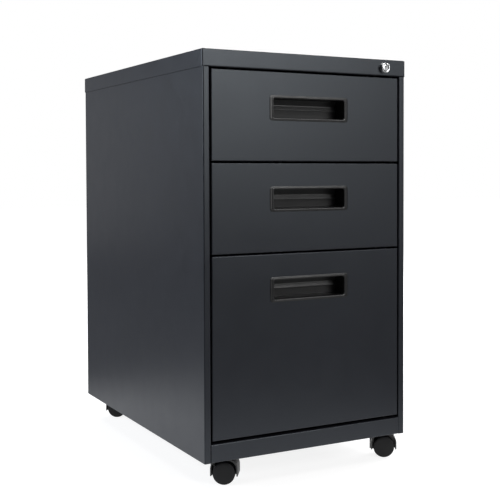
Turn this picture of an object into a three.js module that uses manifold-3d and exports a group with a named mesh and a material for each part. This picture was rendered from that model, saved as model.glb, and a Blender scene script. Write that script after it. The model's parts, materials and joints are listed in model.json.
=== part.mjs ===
// A mobile pedestal filing cabinet: two box drawers over a file drawer, in a folded sheet steel casing
// on four swivelling twin-wheel casters, with one key lock that works a lock bar behind the drawers.
//
// Millimetres, +Z up. The origin is on the floor under the middle of the cabinet, +X is to the right of a
// person facing the drawers, and the drawers open towards -Y.

import * as THREE from 'three';
import { mergeVertices } from 'three/addons/utils/BufferGeometryUtils.js';
import Module from 'manifold-3d';

const wasm = await Module();
wasm.setup();

// ---- Driving dimensions ----------------------------------------------------------------------------------

const WIDTH = 380; // over the top cover
const DEPTH = 575; // over the top cover
const CASING_HEIGHT = 642;
const FLOOR_CLEARANCE = 42.6; // floor to the underside of the casing
const SHEET = 1; // every sheet steel piece
const GAP = 0.3; // between pieces that lie against each other

const HEADER_HEIGHT = 27.6; // depth of the top cover's skirt
const FRONT_GAP = 3; // between one drawer front and the next
const BOX_FRONT_HEIGHT = 142;
const FILE_FRONT_HEIGHT = 287.6;
const RAIL_HEIGHT = 28.8;
const FRONT_WIDTH = 350;
const FRONT_DEPTH = 20; // depth of a drawer front's folded edges
const FRONT_TURN = 9; // and how far they turn in behind
const STRIP_WIDTH = 12.3; // the upright strip each side of the drawers, from the cover's side

const BEZEL = { width: 146, height: 40.5, radius: 5, proud: 1.5, below: 37 };
const POCKET = { width: 132, height: 31, radius: 3, depth: 28, wall: 1.3 };
const GRIP = { depth: 22, top: 9.5, height: 10 }; // the bar across the back of the pocket

const LOCK_FROM_CENTRE = 146;
const LOCK_BELOW_TOP = 14.4;
const LOCK_PROUD = 7;
const LOCK_RADIUS = 8.3;
const PLUG_RADIUS = 5.5;
const LOCK_COLLAR_RADIUS = 11;
const LOCK_DEPTH = 20; // from the header's face to the housing's back end
const KEYWAY = { width: 2.2, height: 7.2, depth: 17 };
const CAM = { radius: 11, thickness: 2, behind: 24.3, throw: 8 }; // throw: lock axis to the cam's pin
const PIN_RADIUS = 2;
const SLOT_PLAY = 0.8; // above and below the pin in the lock bar's slot
const LOCK_TURN = Math.PI / 2;

// The lock bar stands behind the right strip. Its tabs lie in front of the drawers' catches.
const BAR = { behind: 28, thickness: 2, inner: 178.5, outer: 186.5, tab: 167.5, tabHeight: 8, foot: 74 };
const BAR_EAR = { half: 6, reach: 9 }; // half its height, and from the pin to its end
const BAR_BELOW_CATCH = 1.5; // unlocked
const GUIDE = { height: 12, wall: 3, bottoms: [138, 500] }; // the loops that hold the bar
const CATCH = { outer: 174, thickness: 2, behindBar: 1, height: 8, boxAbove: 30, fileAbove: 36 };

const BODY_WIDTH = 329; // over a drawer body's sides
const BODY_LENGTH = 500; // a drawer body, from the back of its front
const LINER_SET_BACK = 13.7; // from the body's front edge to its inner front wall
const BOX_BODY = { height: 105, above: 12 }; // above: over the bottom edge of the drawer front
const FILE_BODY = { height: 240, above: 8 };

const SLIDE_LENGTH = 500;
const SLIDE_WALL = 177.7; // half the distance between the cabinet sides of the slides
const BOX_SLIDE_HEIGHT = 36;
const FILE_SLIDE_HEIGHT = 46;
const SLIDE_SHEET = 1.2;
const RAIL_SECTION = { width: 8.5, lip: 4 };
const RUNNER_SECTION = { width: 8.5, boxHeight: 24, fileHeight: 19 };
const MIDDLE_SECTION = { width: 8, lip: 3.6, height: 33 };

const UPRIGHT_LENGTH = 30; // along the side panel
const UPRIGHT_FRONTS = [45, 430]; // from the drawer fronts to each upright
const UPRIGHT_ABOVE_BASE = 30;
const UPRIGHT_BELOW_HEADER = 5;

const COUNTERWEIGHT = { width: 280, depth: 136, height: 25, fromBack: 14 };

const TRAY = { depth: 22, length: 96, trough: 40, wall: 1.6 }; // the pencil tray
const HANGING_RAIL = { inside: 3.3, outside: 1.7, below: 8, above: 1.8, fromEnds: 4 };

const WHEEL_RADIUS = 18;
const WHEEL_INNER = 7; // caster's middle plane to a wheel's inner face
const WHEEL_OUTER = 19.5; // and to its outer face
const CASTER_TRAIL = 17; // swivel axis to axle
const HOOD = { reach: 22, width: 33.6, corner: 15, lip: 4.7, wall: 2 };
const HOOD_WEB = 8; // thickness between the wheels
const HOOD_HUB_RADIUS = 6;
const SOCKET = { radius: 6.5, bottom: 12, boreBottom: 18 };
const AXLE_RADIUS = 2.5;
const AXLE_SHORT_OF_FACE = 4; // from the axle's end to a wheel's outer face
const STEM_RADIUS = 4;
const WASHER = { radius: 11, thickness: 1.8 };
const SEAT = { radius: 9, height: 7 }; // the threaded seat in the bottom pan
const SWIVEL_FROM_SIDE = 37;
const SWIVEL_FROM_FRONT = 41;
const SWIVEL_FROM_BACK = 32;
// Each caster stands turned by this many degrees, clockwise from above, from trailing straight to the right.
const CASTER_TURN = { front_left: 33, front_right: 30, rear_left: 29, rear_right: 35 };

// ---- Places worked out from them -------------------------------------------------------------------------

const FRONT = LOCK_PROUD - (DEPTH + LOCK_PROUD) / 2; // plane of the drawer fronts
const BACK = FRONT + DEPTH;
const BASE = FLOOR_CLEARANCE;
const TOP = BASE + CASING_HEIGHT;
const HEADER_BOTTOM = TOP - HEADER_HEIGHT;
const SIDE_OUTER = WIDTH / 2 - SHEET - GAP; // outer face of a side panel, inside the cover's skirt
const SIDE_INNER = SIDE_OUTER - SHEET;
const STRIP_INNER = WIDTH / 2 - STRIP_WIDTH;
const BODY_SIDE = BODY_WIDTH / 2;
const BODY_FRONT = FRONT + FRONT_DEPTH + GAP;
const SLIDE_FRONT = FRONT + FRONT_DEPTH + 2;
const LOCK_Z = TOP - LOCK_BELOW_TOP;
const CAM_FRONT = FRONT + CAM.behind;
const BAR_TRAVEL = 2 * CAM.throw * Math.sin(LOCK_TURN / 2);
const PIN_Z = LOCK_Z - BAR_TRAVEL / 2; // unlocked
const PIN_X = LOCK_FROM_CENTRE - CAM.throw * Math.cos(LOCK_TURN / 2);
const BAR_Y = [FRONT + BAR.behind, FRONT + BAR.behind + BAR.thickness];
const UPRIGHT_FACE = SLIDE_WALL + GAP;
const SLIDE_Y = [SLIDE_FRONT, SLIDE_FRONT + SLIDE_LENGTH];
const RUNNER_WEB = BODY_SIDE + GAP;
const HOOD_TOP = WHEEL_RADIUS + HOOD.reach;

// The drawers from the top down: bottom and top of each front, its body and the middle height of its slides.
const DRAWERS = [];
let nextTop = HEADER_BOTTOM - FRONT_GAP;
for (const [name, height, body] of [
  ['upper', BOX_FRONT_HEIGHT, BOX_BODY],
  ['middle', BOX_FRONT_HEIGHT, BOX_BODY],
  ['file', FILE_FRONT_HEIGHT, FILE_BODY],
]) {
  const bottom = nextTop - height;
  const bodyBottom = bottom + body.above;
  const bodyTop = bodyBottom + body.height;
  DRAWERS.push({ name, bottom, top: nextTop, bodyBottom, bodyTop, slideZ: (bodyBottom + bodyTop) / 2 });
  nextTop = bottom - FRONT_GAP;
}

// ---- Solids ----------------------------------------------------------------------------------------------

// A closed geometry as a solid that can be joined and cut.
function solid(geometry) {
  geometry.deleteAttribute('normal');
  geometry.deleteAttribute('uv');
  const merged = mergeVertices(geometry, 1e-4);
  const corners = merged.index.array;
  const triangles = [];
  for (let i = 0; i < corners.length; i += 3) {
    const [a, b, c] = corners.slice(i, i + 3);
    if (a !== b && b !== c && c !== a) triangles.push(a, b, c);
  }
  return new wasm.Manifold(new wasm.Mesh({
    numProp: 3,
    vertProperties: merged.attributes.position.array,
    triVerts: Uint32Array.from(triangles),
  }));
}

function join(first, ...others) {
  return others.reduce((sum, other) => sum.add(other), first);
}

function cut(first, ...others) {
  return others.reduce((rest, other) => rest.subtract(other), first);
}

// A box given by its low and high end along each axis.
function block(x, y, z) {
  const geometry = new THREE.BoxGeometry(x[1] - x[0], y[1] - y[0], z[1] - z[0]);
  geometry.translate((x[0] + x[1]) / 2, (y[0] + y[1]) / 2, (z[0] + z[1]) / 2);
  return solid(geometry);
}

// An outline drawn with X to the right and Z up, as deep as the range y.
function slab(outline, y, curveSegments = 4) {
  const geometry = new THREE.ExtrudeGeometry(outline, {
    depth: y[1] - y[0],
    bevelEnabled: false,
    curveSegments,
  });
  geometry.rotateX(Math.PI / 2);
  geometry.translate(0, y[1], 0);
  return solid(geometry);
}

// A round bar along Y through (x, z).
function roundAlongY(radius, x, z, y, segments = 24) {
  const geometry = new THREE.CylinderGeometry(radius, radius, y[1] - y[0], segments);
  geometry.translate(x, (y[0] + y[1]) / 2, z);
  return solid(geometry);
}

// A round bar along Z through (x, y).
function roundAlongZ(radius, x, y, z, segments = 24) {
  const geometry = new THREE.CylinderGeometry(radius, radius, z[1] - z[0], segments);
  geometry.rotateX(Math.PI / 2);
  geometry.translate(x, y, (z[0] + z[1]) / 2);
  return solid(geometry);
}

// The part of the X axis from inner to outer, on the right (side 1) or the left (side -1).
function across(side, inner, outer) {
  return side > 0 ? [inner, outer] : [-outer, -inner];
}

function polygon(points) {
  return new THREE.Shape(points.map(([x, y]) => new THREE.Vector2(x, y)));
}

function roundedRectangle(width, height, radius, centreZ) {
  const x = width / 2 - radius;
  const z = height / 2 - radius;
  const shape = new THREE.Shape();
  shape.absarc(x, centreZ + z, radius, 0, Math.PI / 2);
  shape.absarc(-x, centreZ + z, radius, Math.PI / 2, Math.PI);
  shape.absarc(-x, centreZ - z, radius, Math.PI, 1.5 * Math.PI);
  shape.absarc(x, centreZ - z, radius, 1.5 * Math.PI, 2 * Math.PI);
  shape.closePath();
  return shape;
}

// The section of a folded channel: its web at x = web, its flanges as far as x = open, and lips turned in
// from their ends. The middle height is z, and height is over the flanges.
function channel(side, web, open, z, height, thickness, lip) {
  const into = Math.sign(open - web) * thickness;
  const half = height / 2;
  const lower = [[web, -half], [open, -half]];
  if (lip) {
    lower.push([open, lip - half], [open - into, lip - half], [open - into, thickness - half]);
  } else {
    lower.push([open, thickness - half]);
  }
  lower.push([web + into, thickness - half]);
  const upper = lower.map(([px, pz]) => [px, -pz]).reverse();
  return polygon([...lower, ...upper].map(([px, pz]) => [side * px, z + pz]));
}

// ---- Materials and pieces --------------------------------------------------------------------------------

const FINISH = {
  powderCoat: { color: 0x43474d, roughness: 0.45, metalness: 0.3 },
  zincSteel: { color: 0xa9adb0, roughness: 0.35, metalness: 0.9 },
  blackPlastic: { color: 0x151517, roughness: 0.5, metalness: 0 },
  wheelPlastic: { color: 0x1b1b1d, roughness: 0.4, metalness: 0 },
  chrome: { color: 0xd5d7d9, roughness: 0.12, metalness: 1 },
  castIron: { color: 0x2b2b2c, roughness: 0.8, metalness: 0.5 },
};

const cabinet = new THREE.Group();

// Adds one piece to a group, with a material of its own.
function addPiece(name, shape, finish, group = cabinet) {
  const { vertProperties, triVerts } = shape.getMesh();
  const geometry = new THREE.BufferGeometry();
  geometry.setAttribute('position', new THREE.BufferAttribute(Float32Array.from(vertProperties), 3));
  geometry.setIndex(new THREE.BufferAttribute(Uint32Array.from(triVerts), 1));
  geometry.computeVertexNormals();
  const mesh = new THREE.Mesh(geometry, new THREE.MeshStandardMaterial(FINISH[finish]));
  mesh.name = name;
  group.add(mesh);
}

// ---- Casing ----------------------------------------------------------------------------------------------

// The top cover: a tray upside down. Its front skirt is the header, with a lip folded in and up behind it.
function topCover() {
  const lipDepth = 14;
  const lipHeight = 4;
  const lipX = [-SIDE_INNER + GAP, SIDE_INNER - GAP];
  const outside = block([-WIDTH / 2, WIDTH / 2], [FRONT, BACK], [HEADER_BOTTOM, TOP]);
  const inside = block(
    [SHEET - WIDTH / 2, WIDTH / 2 - SHEET],
    [FRONT + SHEET, BACK - SHEET],
    [HEADER_BOTTOM - SHEET, TOP - SHEET],
  );
  const lip = block(lipX, [FRONT + SHEET / 2, FRONT + lipDepth], [HEADER_BOTTOM, HEADER_BOTTOM + SHEET]);
  const upturn = block(
    lipX,
    [FRONT + lipDepth - SHEET, FRONT + lipDepth],
    [HEADER_BOTTOM + SHEET / 2, HEADER_BOTTOM + lipHeight],
  );
  const lockHole = roundAlongY(LOCK_RADIUS + GAP, LOCK_FROM_CENTRE, LOCK_Z, [FRONT - 1, FRONT + 2]);
  return cut(join(cut(outside, inside), lip, upturn), lockHole);
}

// A side panel, with the upright strip folded in at its front, and flanges at its back and bottom.
function sidePanel(side) {
  const returnDepth = 14;
  const flange = 14;
  const panelBack = BACK - 2 * SHEET - 2 * GAP;
  const stripTop = HEADER_BOTTOM - GAP;
  const wall = block(
    across(side, SIDE_INNER, SIDE_OUTER),
    [FRONT + SHEET + GAP, panelBack],
    [BASE, TOP - SHEET - GAP],
  );
  const strip = block(across(side, STRIP_INNER, SIDE_OUTER), [FRONT, FRONT + SHEET], [BASE, stripTop]);
  const corner = block(across(side, SIDE_INNER, SIDE_OUTER), [FRONT, FRONT + 2 * SHEET], [BASE, stripTop]);
  const inward = block(
    across(side, STRIP_INNER, STRIP_INNER + SHEET),
    [FRONT, FRONT + returnDepth],
    [BASE, stripTop],
  );
  const back = block(
    across(side, SIDE_OUTER - flange, SIDE_OUTER),
    [panelBack - SHEET, panelBack],
    [BASE, TOP - SHEET - GAP],
  );
  const bottom = block(
    across(side, SIDE_OUTER - flange, SIDE_OUTER),
    [FRONT + returnDepth + SHEET, panelBack],
    [BASE, BASE + SHEET],
  );
  return join(wall, strip, corner, inward, back, bottom);
}

function backPanel() {
  const outer = BACK - SHEET - GAP;
  return block([-SIDE_OUTER, SIDE_OUTER], [outer - SHEET, outer], [BASE, TOP - SHEET - GAP]);
}

// The bottom pan, folded up at its sides and back, with the bottom rail as its front and the threaded
// seats of the casters welded on.
function bottomPan() {
  const floor = BASE + SHEET + GAP;
  const edge = 20;
  const sideX = SIDE_INNER - GAP;
  const railX = [GAP - STRIP_INNER, STRIP_INNER - GAP];
  const panBack = BACK - 3 * SHEET - 3 * GAP;
  const panFront = FRONT + 16;
  const railDepth = 18;
  const downturnHeight = 9;
  const tray = cut(
    block([-sideX, sideX], [panFront, panBack], [floor, floor + edge]),
    block([SHEET - sideX, sideX - SHEET], [panFront - 1, panBack - SHEET], [floor + SHEET, floor + edge + 1]),
  );
  const face = block(railX, [FRONT, FRONT + SHEET], [BASE, BASE + RAIL_HEIGHT]);
  const apron = block(railX, [FRONT + SHEET / 2, panFront + SHEET], [floor, floor + SHEET]);
  const railTop = [BASE + RAIL_HEIGHT - SHEET, BASE + RAIL_HEIGHT];
  const cap = block(railX, [FRONT + SHEET / 2, FRONT + railDepth], railTop);
  const downturn = block(
    railX,
    [FRONT + railDepth - SHEET, FRONT + railDepth],
    [BASE + RAIL_HEIGHT - downturnHeight, BASE + RAIL_HEIGHT - SHEET / 2],
  );
  let pan = join(tray, face, apron, cap, downturn);
  for (const { x, y } of Object.values(swivels())) {
    pan = join(pan, roundAlongZ(SEAT.radius, x, y, [floor + SHEET / 2, floor + SEAT.height]));
    pan = cut(pan, roundAlongZ(STEM_RADIUS + GAP, x, y, [floor - 1, floor + SEAT.height + 1]));
  }
  return pan;
}

// An upright that carries the slides: a channel standing against the side panel.
function upright(side, fromFront) {
  const front = FRONT + fromFront;
  const z = [BASE + UPRIGHT_ABOVE_BASE, HEADER_BOTTOM - UPRIGHT_BELOW_HEADER];
  const outer = SIDE_INNER - GAP;
  const body = block(across(side, UPRIGHT_FACE, outer), [front, front + UPRIGHT_LENGTH], z);
  const hollow = block(
    across(side, UPRIGHT_FACE + SLIDE_SHEET, outer + 1),
    [front + SLIDE_SHEET, front + UPRIGHT_LENGTH - SLIDE_SHEET],
    [z[0] - 1, z[1] + 1],
  );
  return cut(body, hollow);
}

// A loop on the front right upright that the lock bar slides through.
function barGuide(z) {
  const loop = block(
    [BAR.inner - GUIDE.wall, SIDE_INNER - GAP],
    [BAR_Y[0] - GUIDE.wall, FRONT + UPRIGHT_FRONTS[0] + SLIDE_SHEET / 2],
    [z, z + GUIDE.height],
  );
  const way = block(
    [BAR.inner - 2 * GAP, BAR.outer + GAP],
    [BAR_Y[0] - GAP, BAR_Y[1] + GAP],
    [z - 1, z + GUIDE.height + 1],
  );
  return cut(loop, way);
}

function counterweight() {
  const floor = BASE + 2 * SHEET + 2 * GAP;
  const half = COUNTERWEIGHT.width / 2;
  const back = BACK - COUNTERWEIGHT.fromBack;
  return block([-half, half], [back - COUNTERWEIGHT.depth, back], [floor, floor + COUNTERWEIGHT.height]);
}

// ---- Lock ------------------------------------------------------------------------------------------------

// The underside of a drawer's catch, just above the top of the lock bar's tab when it is unlocked.
function catchBottom(drawer) {
  return drawer.slideZ + (drawer.name === 'file' ? CATCH.fileAbove : CATCH.boxAbove);
}

function lockHousing() {
  const face = FRONT - LOCK_PROUD;
  const end = FRONT + LOCK_DEPTH;
  const collarY = [FRONT + SHEET + GAP, FRONT + 3.5];
  const barrel = roundAlongY(LOCK_RADIUS, LOCK_FROM_CENTRE, LOCK_Z, [face, end], 32);
  const collar = roundAlongY(LOCK_COLLAR_RADIUS, LOCK_FROM_CENTRE, LOCK_Z, collarY, 32);
  const bore = roundAlongY(PLUG_RADIUS + GAP, LOCK_FROM_CENTRE, LOCK_Z, [face - 1, end + 1]);
  return cut(join(barrel, collar), bore);
}

function lockPlug() {
  const face = FRONT - LOCK_PROUD;
  const plug = roundAlongY(PLUG_RADIUS, LOCK_FROM_CENTRE, LOCK_Z, [face + 0.4, CAM_FRONT - GAP]);
  const keyway = block(
    [LOCK_FROM_CENTRE - KEYWAY.width / 2, LOCK_FROM_CENTRE + KEYWAY.width / 2],
    [face, face + KEYWAY.depth],
    [LOCK_Z - KEYWAY.height / 2, LOCK_Z + KEYWAY.height / 2],
  );
  return cut(plug, keyway);
}

// The cam turns with the plug, and its pin stands in the lock bar's slot.
function lockCam() {
  const disc = roundAlongY(CAM.radius, LOCK_FROM_CENTRE, LOCK_Z, [CAM_FRONT, CAM_FRONT + CAM.thickness]);
  const pin = roundAlongY(PIN_RADIUS, PIN_X, PIN_Z, [CAM_FRONT + CAM.thickness / 2, BAR_Y[1] + 1], 16);
  return join(disc, pin);
}

// The lock bar: an upright strip with a slotted ear over the cam's pin and a tab for each drawer.
function lockBar() {
  const earTop = PIN_Z + BAR_EAR.half;
  const slotHalf = PIN_RADIUS + SLOT_PLAY;
  const strip = block([BAR.inner, BAR.outer], BAR_Y, [BASE + BAR.foot, earTop]);
  const ear = block([PIN_X - BAR_EAR.reach, BAR.outer], BAR_Y, [PIN_Z - BAR_EAR.half, earTop]);
  const slot = block(
    [LOCK_FROM_CENTRE - CAM.throw - PIN_RADIUS - 1, PIN_X + PIN_RADIUS + 1],
    [BAR_Y[0] - 1, BAR_Y[1] + 1],
    [PIN_Z - slotHalf, PIN_Z + slotHalf],
  );
  const tabs = DRAWERS.map((drawer) => {
    const top = catchBottom(drawer) - BAR_BELOW_CATCH;
    return block([BAR.tab, BAR.inner + 1], BAR_Y, [top - BAR.tabHeight, top]);
  });
  return cut(join(strip, ear, ...tabs), slot);
}

// ---- Drawers ---------------------------------------------------------------------------------------------

// The middle height of a drawer's pull.
function pullZ(drawer) {
  return drawer.top - BEZEL.below - BEZEL.height / 2;
}

// A drawer front: a sheet folded back on all four sides, its edges turned in, cut out for the pull.
function drawerFront(drawer) {
  const x = FRONT_WIDTH / 2;
  const pan = block([-x, x], [FRONT, FRONT + FRONT_DEPTH], [drawer.bottom, drawer.top]);
  const hollow = block(
    [SHEET - x, x - SHEET],
    [FRONT + SHEET, FRONT + FRONT_DEPTH - SHEET],
    [drawer.bottom + SHEET, drawer.top - SHEET],
  );
  const mouth = block(
    [FRONT_TURN - x, x - FRONT_TURN],
    [FRONT + SHEET, FRONT + FRONT_DEPTH + 1],
    [drawer.bottom + FRONT_TURN, drawer.top - FRONT_TURN],
  );
  const room = 2 * (POCKET.wall + GAP);
  const cutOut = slab(
    roundedRectangle(POCKET.width + room, POCKET.height + room, POCKET.radius + POCKET.wall, pullZ(drawer)),
    [FRONT - 1, FRONT + SHEET + 1],
  );
  return cut(pan, hollow, mouth, cutOut);
}

// A drawer body: an open box with an inner front wall set back behind the pull's pocket, side flanges
// that are welded to the drawer front, and the catch for the lock bar on its right side.
function drawerBody(drawer) {
  const back = BODY_FRONT + BODY_LENGTH;
  const { bodyBottom, bodyTop } = drawer;
  const inner = BODY_SIDE - SHEET;
  const liner = BODY_FRONT + LINER_SET_BACK;
  const shell = cut(
    block([-BODY_SIDE, BODY_SIDE], [BODY_FRONT, back], [bodyBottom, bodyTop]),
    block([-inner, inner], [liner + SHEET, back - SHEET], [bodyBottom + SHEET, bodyTop + 1]),
    block([-inner, inner], [BODY_FRONT - 1, liner], [bodyBottom + SHEET, bodyTop + 1]),
  );
  const flanges = [-1, 1].map((side) => block(
    across(side, BODY_SIDE - SHEET / 2, FRONT_WIDTH / 2 - SHEET),
    [BODY_FRONT, BODY_FRONT + SHEET],
    [bodyBottom, bodyTop],
  ));
  const catchZ = catchBottom(drawer);
  const catchY = BAR_Y[1] + CATCH.behindBar;
  const lug = block(
    [BODY_SIDE - SHEET / 2, CATCH.outer],
    [catchY, catchY + CATCH.thickness],
    [catchZ, catchZ + CATCH.height],
  );
  return join(shell, ...flanges, lug);
}

// A moulded pull: a bezel over the drawer front and a pocket behind it, with a grip bar across its back.
function pull(drawer) {
  const z = pullZ(drawer);
  const outerWidth = POCKET.width + 2 * POCKET.wall;
  const outerHeight = POCKET.height + 2 * POCKET.wall;
  const bezel = slab(
    roundedRectangle(BEZEL.width, BEZEL.height, BEZEL.radius, z),
    [FRONT - BEZEL.proud, FRONT - GAP],
  );
  const shell = slab(
    roundedRectangle(outerWidth, outerHeight, POCKET.radius + POCKET.wall, z),
    [FRONT - BEZEL.proud / 2, FRONT + POCKET.depth + POCKET.wall],
  );
  const hollow = slab(
    roundedRectangle(POCKET.width, POCKET.height, POCKET.radius, z),
    [FRONT - BEZEL.proud - 1, FRONT + POCKET.depth],
  );
  const gripTop = z + POCKET.height / 2 - GRIP.top;
  const grip = block(
    [-POCKET.width / 2 - 0.5, POCKET.width / 2 + 0.5],
    [FRONT + GRIP.depth, FRONT + POCKET.depth + 0.5],
    [gripTop - GRIP.height, gripTop],
  );
  return join(cut(join(bezel, shell), hollow), grip);
}

// A moulded pencil tray that rests on the upper drawer's sides: one long trough and two short ones.
function pencilTray(drawer) {
  const { wall } = TRAY;
  const front = BODY_FRONT + LINER_SET_BACK + SHEET + 1;
  const back = front + TRAY.length;
  const split = front + TRAY.trough;
  const inner = BODY_SIDE - SHEET - 1;
  const rim = BODY_SIDE - SHEET / 2;
  const rimZ = drawer.bodyTop + GAP;
  const rest = block([-rim, rim], [front, back], [rimZ, rimZ + wall]);
  const basin = block([-inner, inner], [front, back], [rimZ - TRAY.depth, rimZ + wall / 2]);
  const hollow = (x, y) => block(x, y, [rimZ - TRAY.depth + wall, rimZ + wall + 1]);
  return cut(
    join(rest, basin),
    hollow([wall - inner, inner - wall], [front + wall, split]),
    hollow([wall - inner, -wall / 2], [split + wall, back - wall]),
    hollow([wall / 2, inner - wall], [split + wall, back - wall]),
  );
}

// A channel over the top edge of the file drawer's side, for the hooks of hanging folders.
function hangingRail(side, drawer) {
  const front = BODY_FRONT + LINER_SET_BACK + HANGING_RAIL.fromEnds;
  const back = BODY_FRONT + BODY_LENGTH - HANGING_RAIL.fromEnds;
  const bottom = drawer.bodyTop - HANGING_RAIL.below;
  const outer = block(
    across(side, BODY_SIDE - HANGING_RAIL.inside, BODY_SIDE + HANGING_RAIL.outside),
    [front, back],
    [bottom, drawer.bodyTop + HANGING_RAIL.above],
  );
  const edge = block(
    across(side, BODY_SIDE - SHEET - GAP, BODY_SIDE + GAP),
    [front - 1, back + 1],
    [bottom - 1, drawer.bodyTop + GAP],
  );
  return cut(outer, edge);
}

// ---- Slides ----------------------------------------------------------------------------------------------

// The member that is fixed to the uprights.
function slideRail(side, { name, slideZ }) {
  const height = name === 'file' ? FILE_SLIDE_HEIGHT : BOX_SLIDE_HEIGHT;
  const open = SLIDE_WALL - RAIL_SECTION.width;
  return slab(channel(side, SLIDE_WALL, open, slideZ, height, SLIDE_SHEET, RAIL_SECTION.lip), SLIDE_Y);
}

// The member that is fixed to the drawer, between the rail's lips.
function slideRunner(side, { name, slideZ }) {
  const height = name === 'file' ? RUNNER_SECTION.fileHeight : RUNNER_SECTION.boxHeight;
  const open = RUNNER_WEB + RUNNER_SECTION.width;
  return slab(channel(side, RUNNER_WEB, open, slideZ, height, SLIDE_SHEET, 0), SLIDE_Y);
}

// The member between rail and runner, on the file drawer's full-extension slides.
function slideMiddle(side, { slideZ }) {
  const { width, height, lip } = MIDDLE_SECTION;
  const web = SLIDE_WALL - 2 * SLIDE_SHEET;
  return slab(channel(side, web, web - width, slideZ, height, SLIDE_SHEET, lip), SLIDE_Y);
}

// ---- Casters ---------------------------------------------------------------------------------------------

// Where each caster swivels.
function swivels() {
  const x = WIDTH / 2 - SWIVEL_FROM_SIDE;
  return {
    front_left: { x: -x, y: FRONT + SWIVEL_FROM_FRONT },
    front_right: { x, y: FRONT + SWIVEL_FROM_FRONT },
    rear_left: { x: -x, y: BACK - SWIVEL_FROM_BACK },
    rear_right: { x, y: BACK - SWIVEL_FROM_BACK },
  };
}

// The side outline of a caster's hood: upright sides and a rounded top, open at the bottom.
function hoodOutline(inset) {
  const half = HOOD.reach - inset;
  const corner = HOOD.corner - inset;
  const top = HOOD_TOP - inset;
  const shape = new THREE.Shape();
  shape.moveTo(CASTER_TRAIL + half, WHEEL_RADIUS - HOOD.lip - inset);
  shape.lineTo(CASTER_TRAIL + half, top - corner);
  shape.absarc(CASTER_TRAIL + half - corner, top - corner, corner, 0, Math.PI / 2);
  shape.absarc(CASTER_TRAIL - half + corner, top - corner, corner, Math.PI / 2, Math.PI);
  shape.lineTo(CASTER_TRAIL - half, WHEEL_RADIUS - HOOD.lip - inset);
  shape.closePath();
  return shape;
}

// The hood over both wheels, with the web between them that carries the axle and the stem's socket.
function casterHood() {
  const y = [-HOOD.width / 2, HOOD.width / 2];
  const arch = cut(slab(hoodOutline(0), y, 5), slab(hoodOutline(HOOD.wall), [y[0] - 1, y[1] + 1], 5));
  const socket = roundAlongZ(SOCKET.radius, 0, 0, [SOCKET.bottom, HOOD_TOP - HOOD.wall / 2], 16);
  const web = slab(hoodOutline(HOOD.wall / 2), [-HOOD_WEB / 2, HOOD_WEB / 2], 5);
  const hubY = [GAP - WHEEL_INNER, WHEEL_INNER - GAP];
  const hub = roundAlongY(HOOD_HUB_RADIUS, CASTER_TRAIL, WHEEL_RADIUS, hubY, 16);
  return cut(
    join(arch, web, socket, hub),
    roundAlongZ(STEM_RADIUS + GAP, 0, 0, [SOCKET.boreBottom, HOOD_TOP + 1], 16),
    roundAlongY(AXLE_RADIUS + GAP, CASTER_TRAIL, WHEEL_RADIUS, [-WHEEL_INNER, WHEEL_INNER], 16),
  );
}

// The stem that the hood swivels on, with the washer under the casing. Its upper end is threaded.
function casterStem() {
  const washerTop = BASE - GAP;
  return join(
    roundAlongZ(STEM_RADIUS, 0, 0, [SOCKET.boreBottom + GAP, BASE + 11], 16),
    roundAlongZ(WASHER.radius, 0, 0, [washerTop - WASHER.thickness, washerTop], 24),
  );
}

function casterAxle() {
  const end = WHEEL_OUTER - AXLE_SHORT_OF_FACE;
  return roundAlongY(AXLE_RADIUS, CASTER_TRAIL, WHEEL_RADIUS, [-end, end], 16);
}

// A wheel around its own axle, its smooth outer face towards side * +Y and a blind bore in the other.
function casterWheel(side) {
  const bore = AXLE_RADIUS + GAP;
  const boreEnd = WHEEL_OUTER - AXLE_SHORT_OF_FACE + 0.5;
  const profile = [
    [0, boreEnd],
    [bore, boreEnd],
    [bore, WHEEL_INNER],
    [WHEEL_RADIUS - 1, WHEEL_INNER],
    [WHEEL_RADIUS, WHEEL_INNER + 1],
    [WHEEL_RADIUS, WHEEL_OUTER - 2],
    [WHEEL_RADIUS - 1.6, WHEEL_OUTER - 0.5],
    [0, WHEEL_OUTER],
  ].map(([r, y]) => new THREE.Vector2(r, side * y));
  if (side < 0) profile.reverse();
  return solid(new THREE.LatheGeometry(profile, 28));
}

// ---- Assembly --------------------------------------------------------------------------------------------

addPiece('top_cover', topCover(), 'powderCoat');
addPiece('left_side_panel', sidePanel(-1), 'powderCoat');
addPiece('right_side_panel', sidePanel(1), 'powderCoat');
addPiece('back_panel', backPanel(), 'powderCoat');
addPiece('bottom_pan', bottomPan(), 'powderCoat');
addPiece('counterweight', counterweight(), 'castIron');
addPiece('front_left_upright', upright(-1, UPRIGHT_FRONTS[0]), 'zincSteel');
addPiece('rear_left_upright', upright(-1, UPRIGHT_FRONTS[1]), 'zincSteel');
const barGuides = GUIDE.bottoms.map(barGuide);
addPiece('front_right_upright', join(upright(1, UPRIGHT_FRONTS[0]), ...barGuides), 'zincSteel');
addPiece('rear_right_upright', upright(1, UPRIGHT_FRONTS[1]), 'zincSteel');

addPiece('lock_housing', lockHousing(), 'chrome');
addPiece('lock_plug', lockPlug(), 'chrome');
addPiece('lock_cam', lockCam(), 'zincSteel');
addPiece('lock_bar', lockBar(), 'zincSteel');

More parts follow.
